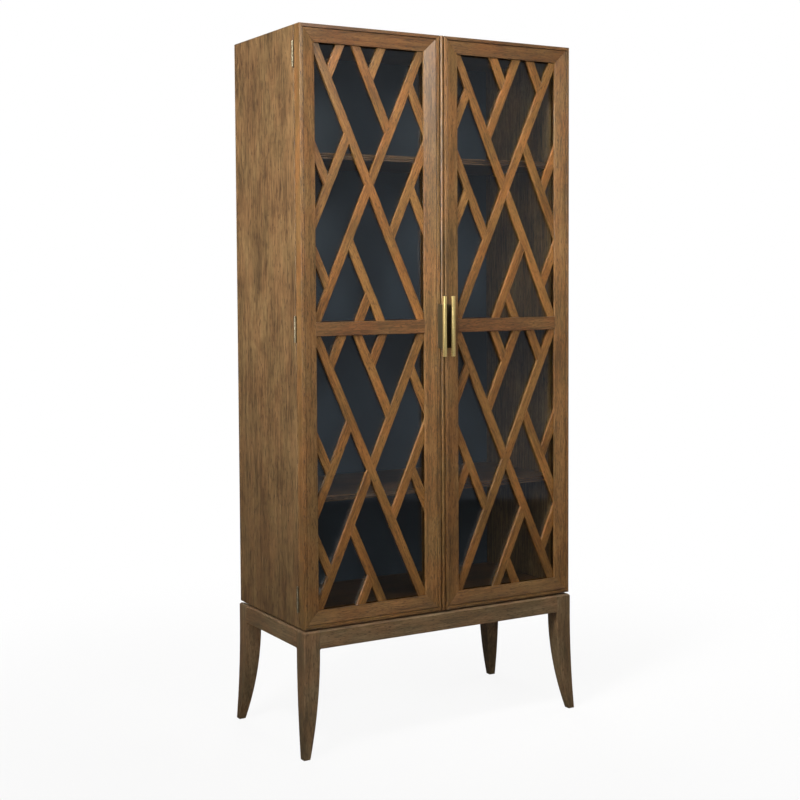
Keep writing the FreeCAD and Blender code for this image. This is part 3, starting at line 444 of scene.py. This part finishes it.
def bead(shape, start, way, inward, length):
    """One glass bead: a strip with its inner rear edge chamfered, from its start along a way."""
    start, way, inward = Vector(start), Vector(way), Vector(inward)
    back = to_the_back * bead_depth
    outline = [Vector(), inward * bead_width,
               inward * bead_width + back * (1 - bead_chamfer / bead_depth),
               inward * (bead_width - bead_chamfer) + back, back]
    ends = [[shape.verts.new(start + way * far + point) for point in outline] for far in (0, length)]
    shape.faces.new(ends[0])
    shape.faces.new(reversed(ends[1]))
    for step in range(len(outline)):
        follow = (step + 1) % len(outline)
        shape.faces.new([ends[0][step], ends[1][step], ends[1][follow], ends[0][follow]])


for door in ("left", "right"):
    panes = frame["nodes"][f"{door}_glass_panes"]
    panes.data.materials.clear()
    panes.data.materials.append(clear_glass)
    low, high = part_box(f"{door}_glass_beads")
    rail_low, rail_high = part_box(f"{door}_mid_rail")
    beads = bmesh.new()
    lap = rabbet_width - bead_gap
    for bottom, top in ((low.z, rail_low.z + lap), (rail_high.z - lap, high.z)):
        tall, wide = top - bottom, high.x - low.x - 2 * bead_width
        bead(beads, (low.x, low.y, bottom), up, to_the_right, tall)
        bead(beads, (high.x, low.y, bottom), up, -to_the_right, tall)
        bead(beads, (low.x + bead_width, low.y, bottom), to_the_right, up, wide)
        bead(beads, (low.x + bead_width, low.y, top), to_the_right, -up, wide)
    bmesh.ops.recalc_face_normals(beads, faces=beads.faces)
    bmesh.ops.bevel(beads, geom=beads.edges[:], offset=bead_ease, segments=1, affect="EDGES")
    write_grain(beads, f"{door}_beads")
    new_piece(beads, f"{door}_glass_beads_piece", f"{door}_door", "frame_walnut", stile_wood,
              f"{door}_glass_beads")

# Pulls
# A square satin brass bar stands off the stile on a dark patinated web, which two screws hold from the
# inside of the door.
patina_colour, patina_shade = "#6A614A", "#544C3A"
head_radius, head_height, head_dome, head_edge = 3.8 * mm, 2.4 * mm, 1.1 * mm, 0.4 * mm
shank_radius, recess_radius, recess_depth = 2 * mm, 1.3 * mm, 1.2 * mm

# The patina is rubbed back unevenly, which leaves a cloudy olive brown that looks nearly black in shade
patina = satin_metal("bronze with a dark patina", patina_colour, patina_shade, rough=0.5, mottle=3 * mm)
for door in ("left", "right"):
    body = f"{door}_door"
    joinery(f"{door}_pull_grip", body, "satin_brass", satin_brass, ease=0.25 * mm, steps=1)
    joinery(f"{door}_pull_web", body, "dark_bronze", patina, ease=0.4 * mm)
    low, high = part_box(f"{door}_pull_screws")
    length = high.y - low.y
    screws = bmesh.new()
    for z in (low.z + head_radius, high.z - head_radius):
        turned(screws, [(0, 0), (0, shank_radius), (length - head_height, shank_radius),
                        (length - head_height, head_radius), (length - head_dome, head_radius),
                        (length - head_edge, head_radius * 0.86), (length, head_radius * 0.55),
                        (length, recess_radius), (length - recess_depth, 0)],
               ((low.x + high.x) / 2, low.y, z), to_the_back)
    new_piece(screws, f"{door}_pull_screws_piece", body, "plain_steel", steel, f"{door}_pull_screws")

# Hinges
# Solid drawn brass butts, three to a door. The knuckles of the two leaves take turns along a headed pin,
# and three countersunk screws hold each leaf.
hinge_colour, hinge_shade = "#867D68", "#6B6452"
knuckle_radius, knuckle_count, knuckle_gap, knuckle_ease = 3.5 * mm, 5, 0.3 * mm, 0.25 * mm
leaf_length, leaf_width, leaf_thickness, leaf_ease = 76 * mm, 18 * mm, 1.4 * mm, 0.3 * mm
leaf_clearance, door_gap, hinge_inset = 0.3 * mm, 3 * mm, 85 * mm
pin_radius, pin_clearance = 1.75 * mm, 0.05 * mm
pin_head, pin_head_side, pin_head_top = 2.6 * mm, 0.8 * mm, 1.5 * mm
screw_head, screw_radius, screw_length, screw_point = 3 * mm, 1.6 * mm, 15 * mm, 4 * mm
screw_inset, screw_step, screw_recess, screw_recess_depth = 9 * mm, 27 * mm, 1.1 * mm, 0.9 * mm

# Old lacquer has browned the brass and taken its shine
hinge_brass = satin_metal("drawn brass, lacquered", hinge_colour, hinge_shade, rough=0.5)
stile_low, stile_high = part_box("left_hinge_stile")
joint_places = {joint["child"]: Vector(joint["pos_m"]) for joint in frame["joints"]}
hinge_levels = (stile_low.z + hinge_inset, (stile_low.z + stile_high.z) / 2, stile_high.z - hinge_inset)


def leaf(shape, axis, level, hand, rear):
    """One hinge leaf. hand is 1 for the left door, whose leaves run to +X, and rear is 1 on the case."""
    outer = axis.y + rear * door_gap / 2
    inner = outer - rear * leaf_thickness
    reach = axis.x + hand * (knuckle_radius + leaf_clearance + leaf_width)
    # The leaf starts inside its knuckles
    xs, ys = sorted((axis.x + hand * (knuckle_radius * 0.8), reach)), sorted((inner, outer))
    foot = level - leaf_length / 2
    slab(shape, (xs[0], ys[0], foot), (xs[1], ys[1], foot + leaf_length), leaf_ease)
    step = leaf_length / knuckle_count
    tall = step - knuckle_gap
    bore = pin_radius + pin_clearance
    for number in range(0 if rear == 1 else 1, knuckle_count, 2):
        turned(shape, [(0, bore), (0, knuckle_radius - knuckle_ease), (knuckle_ease, knuckle_radius),
                       (tall - knuckle_ease, knuckle_radius), (tall, knuckle_radius - knuckle_ease),
                       (tall, bore), (0, bore)],
               (axis.x, axis.y, foot + number * step + knuckle_gap / 2), up, count=32)


def leaf_screw(shape, x, face, level, way):
    """A countersunk screw with a hollow in its head, which lies flush in the leaf."""
    turned(shape, [(screw_recess_depth, 0), (0, screw_recess), (0, screw_head),
                   (leaf_thickness, screw_radius), (screw_length - screw_point, screw_radius),
                   (screw_length, 0)],
           (x, face, level), (0, way, 0))


case_leaves, hinge_pins, case_screws = bmesh.new(), bmesh.new(), bmesh.new()
for door, hand in (("left", 1), ("right", -1)):
    axis = joint_places[f"{door}_door"]
    door_leaves, door_screws = bmesh.new(), bmesh.new()
    x = axis.x + hand * (knuckle_radius + leaf_clearance + screw_inset)
    inside = door_gap / 2 - leaf_thickness
    for level in hinge_levels:
        leaf(door_leaves, axis, level, hand, -1)
        leaf(case_leaves, axis, level, hand, 1)
        turned(hinge_pins, [(0, 0), (0, pin_radius), (leaf_length, pin_radius), (leaf_length, pin_head),
                            (leaf_length + pin_head_side, pin_head),
                            (leaf_length + pin_head_top - 0.2 * mm, pin_head * 0.7),
                            (leaf_length + pin_head_top, 0)],
               (axis.x, axis.y, level - leaf_length / 2), up)
        for step in (-screw_step, 0, screw_step):
            leaf_screw(door_screws, x, axis.y - inside, level + step, -1)
            leaf_screw(case_screws, x, axis.y + inside, level + step, 1)
    new_piece(door_leaves, f"{door}_hinge_leaves_piece", f"{door}_door", "satin_brass", hinge_brass,
              f"{door}_hinge_leaves")
    new_piece(door_screws, f"{door}_hinge_screws_piece", f"{door}_door", "satin_brass", hinge_brass,
              f"{door}_hinge_screws")
new_piece(case_leaves, "case_hinge_leaves_piece", "case", "satin_brass", hinge_brass, "case_hinge_leaves")
new_piece(case_screws, "case_hinge_screws_piece", "case", "satin_brass", hinge_brass, "case_hinge_screws")
new_piece(hinge_pins, "hinge_pins_piece", "case", "satin_brass", hinge_brass, "hinge_pins")

# Base
# Four legs sawn to a sabre curve, with rails tenoned between them and a chamfer round the top. Solid
# walnut, stained duller than the case. The board on top carries the case a little above the rails, and
# four glue blocks stiffen the corners inside.
base_light, base_middle, base_dark, base_pore = "#7F684E", "#69553D", "#4E412F", "#382B1E"
timber_light, timber_middle, timber_dark, timber_pore = "#8A6A4A", "#6F5237", "#4E3824", "#2E2014"

# A greyer, duller brown than the doors
base_wood = stained_wood("walnut base, stained dark and lacquered", base_light, base_middle, base_dark,
                         base_pore, sheen=0.40, figure=14 * mm)
# Stained and only thinly lacquered, so that it stays matt
hidden_wood = stained_wood("plain timber, stained", timber_light, timber_middle, timber_dark, timber_pore,
                           sheen=0.55)
for node in ("leg_front_left", "leg_front_right", "leg_rear_left", "leg_rear_right"):
    joinery(node, "case", "base_walnut", base_wood, ease=1.0 * mm, way=up)
for node, way in (("apron_front", to_the_right), ("apron_rear", to_the_right),
                  ("apron_left", to_the_back), ("apron_right", to_the_back)):
    joinery(node, "case", "base_walnut", base_wood, ease=0.5 * mm, way=way)
joinery("deck", "case", "hidden_timber", hidden_wood, ease=0.8 * mm, way=to_the_right)
joinery("corner_blocks", "case", "hidden_timber", hidden_wood, ease=0.6 * mm, way=up)

# Bolts between the base and the case
# Four zinc-plated bolts with hexagon heads go up through the deck and pull the case down on it. The
# underside of each head and the point of each shank are chamfered.
bolt_radius, bolt_point = 3 * mm, 1 * mm
bolt_head, bolt_head_height, bolt_head_chamfer = 5.5 * mm, 4 * mm, 0.6 * mm

low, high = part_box("case_bolts")
bolt_length = high.z - low.z
bolts = bmesh.new()
for x in (low.x + bolt_head, high.x - bolt_head):
    for y in (low.y + bolt_head, high.y - bolt_head):
        turned(bolts, [(0, 0), (0, bolt_head * 0.85), (bolt_head_chamfer, bolt_head),
                       (bolt_head_height, bolt_head), (bolt_head_height, 0)], (x, y, low.z), up, count=6)
        turned(bolts, [(bolt_head_height, 0), (bolt_head_height, bolt_radius),
                       (bolt_length - bolt_point, bolt_radius), (bolt_length, bolt_radius - bolt_point),
                       (bolt_length, 0)], (x, y, low.z), up)
new_piece(bolts, "case_bolts_piece", "case", "plain_steel", steel, "case_bolts")

# Studio floor and surround
# A matt painted floor, pale and almost even, that fades out into a plain white surround. The surround
# also gives a little light of its own, more from above than from below.
floor_reach, fade_start, fade_end, clearest = 4, 0.6, 2.4, 0.88
floor_colour, floor_shade = "#F4F4F3", "#F0F0EF"

floor_mesh = bpy.data.meshes.new("floor")
floor_mesh.from_pydata([(-floor_reach, -floor_reach, 0), (floor_reach, -floor_reach, 0),
                        (floor_reach, floor_reach, 0), (-floor_reach, floor_reach, 0)], [], [(0, 1, 2, 3)])
floor_paint, tree, shader = new_material("pale floor", Roughness=0.9)
place = add(tree, "ShaderNodeTexCoord").outputs["Object"]
drift = add(tree, "ShaderNodeTexNoise", {"Scale": 0.5, "Detail": 2}, {"Vector": place})
pale = add(tree, "ShaderNodeValToRGB", links={"Fac": drift.outputs["Fac"]},
           stops=[(0.3, linear(floor_shade)), (0.7, linear(floor_colour))])
tree.links.new(pale.outputs["Color"], shader.inputs["Base Color"])
# Round the cabinet the floor shows just enough for a soft shadow, and further out it is gone
far = add(tree, "ShaderNodeVectorMath", {"operation": "LENGTH"}, {0: place})
fade = add(tree, "ShaderNodeMapRange",
           {"interpolation_type": "SMOOTHSTEP", "From Min": fade_start, "From Max": fade_end,
            "To Min": clearest},
           {"Value": far.outputs["Value"]})
# Only the camera sees the floor, so that it throws no light back up at the cabinet
seen = add(tree, "ShaderNodeLightPath")
absent = add(tree, "ShaderNodeMath", {"operation": "SUBTRACT", 0: 1.0}, {1: seen.outputs["Is Camera Ray"]})
thin = add(tree, "ShaderNodeMath", {"operation": "MAXIMUM"},
           {0: fade.outputs["Result"], 1: absent.outputs[0]})
clear = add(tree, "ShaderNodeBsdfTransparent")
sweep = add(tree, "ShaderNodeMixShader",
            links={0: thin.outputs[0], 1: shader.outputs[0], 2: clear.outputs[0]})
tree.links.new(sweep.outputs[0], tree.nodes["Material Output"].inputs["Surface"])
floor_mesh.materials.append(floor_paint)
floor = bpy.data.objects.new("floor", floor_mesh)
bpy.context.scene.collection.objects.link(floor)

world = bpy.data.worlds.new("studio")
world.use_nodes = True
bpy.context.scene.world = world
tree = world.node_tree
room = tree.nodes["Background"]
height = add(tree, "ShaderNodeSeparateXYZ", links={0: add(tree, "ShaderNodeTexCoord").outputs["Generated"]})
level = add(tree, "ShaderNodeMapRange", {"From Min": -1.0, "From Max": 1.0},
            {"Value": height.outputs["Z"]})
glow = add(tree, "ShaderNodeValToRGB", links={"Fac": level.outputs["Result"]},
           stops=[(0.0, grey(0.02)), (0.5, grey(0.06)), (1.0, grey(0.18))])
tree.links.new(glow.outputs["Color"], room.inputs["Color"])
backdrop = add(tree, "ShaderNodeBackground", {"Color": grey(1.0)})
seen = add(tree, "ShaderNodeLightPath")
both = add(tree, "ShaderNodeMixShader",
           links={0: seen.outputs["Is Camera Ray"], 1: room.outputs[0], 2: backdrop.outputs[0]})
tree.links.new(both.outputs[0], tree.nodes["World Output"].inputs["Surface"])
bpy.context.scene.view_settings.view_transform = "Standard"

# Studio lights and camera
# Softboxes: most of the light comes from the front and the left, some from above, and one box each lights
# the right side and the back. The camera stands where the photograph was taken.
warm_white, pure_white, cool_white = (1.0, 0.98, 0.96), (1.0, 0.99, 0.97), (0.74, 0.83, 1.0)


def soft_light(name, place, aim, wide, tall, watts, colour, spread=180):
    """A softbox that the camera doesn't see. A grid in front narrows its spread, in degrees."""
    data = bpy.data.lights.new(name, "AREA")
    data.shape, data.size, data.size_y = "RECTANGLE", wide, tall
    data.energy, data.color = watts, colour
    light = bpy.data.objects.new(name, data)
    bpy.context.scene.collection.objects.link(light)
    light.location = place
    light.rotation_euler = (Vector(aim) - Vector(place)).to_track_quat("-Z", "Y").to_euler()
    light.visible_camera = False
    data.spread = math.radians(spread)


# Down on the top of the doors, as the main light
soft_light("key", (0.1, -3.2, 2.9), (0.0, 0.0, 2.0), 0.8, 1.1, 11, (1.0, 0.98, 0.95), 70)
# On the left side of the case
soft_light("fill", (-3.4, -0.9, 2.1), (-0.48, 0.0, 1.6), 1.4, 1.4, 19, pure_white, 52)
# High on the left, for the edges of the frames
soft_light("rim", (-2.3, -1.4, 4.3), (0.1, -0.2, 1.6), 0.6, 0.6, 12, (1.0, 0.98, 0.97), 50)
# Wide and even, on the whole front
soft_light("front", (-1.8, -4.2, 1.8), (-0.1, 0.0, 0.9), 2.4, 2.0, 43.5, warm_white)
# On the foot of the left side
soft_light("low", (-1.9, -2.6, 0.9), (-0.62, -0.2, 0.4), 1.0, 0.7, 1.2, warm_white, 40)
# A narrow one on the right door, and into the case behind it
soft_light("window", (-2.6, -3.2, 2.1), (0.38, -0.1, 1.7), 0.8, 0.8, 2.9, (1.0, 0.97, 0.93), 36)
# Weak and cool, from the right front
soft_light("card", (2.4, -4.0, 1.5), (0.2, -0.2, 1.4), 2.6, 3.0, 4.5, cool_white)
# The sides that the photograph doesn't show
soft_light("rear", (1.2, 4.8, 2.4), (0.0, 0.2, 1.1), 3.0, 2.6, 95, pure_white)
soft_light("right", (4.8, 0.5, 2.3), (0.45, 0.0, 1.1), 2.6, 2.6, 80, pure_white)
# Straight down on the top and the floor
soft_light("overhead", (0.0, -0.4, 4.4), (0.0, -0.4, 0.0), 3.5, 3.5, 14, (1.0, 1.0, 1.0))

yaw, pitch, roll = math.radians(30.447), math.radians(3.137), math.radians(-0.316)
stand = Vector((-2.3122, -3.8877, 1.4247))
focal_pixels, picture_pixels, sensor_width = 1414.1, 800, 36
lens = bpy.data.cameras.new("camera")
lens.sensor_width, lens.lens = sensor_width, focal_pixels * sensor_width / picture_pixels
lens.shift_y = -0.06
lens.clip_start, lens.clip_end = 0.05, 100
camera = bpy.data.objects.new("camera", lens)
bpy.context.scene.collection.objects.link(camera)
camera.matrix_world = (Matrix.Translation(stand) @ Matrix.Rotation(-yaw, 4, "Z")
                       @ Matrix.Rotation(math.pi / 2 - pitch, 4, "X") @ Matrix.Rotation(roll, 4, "Z"))
bpy.context.scene.camera = camera
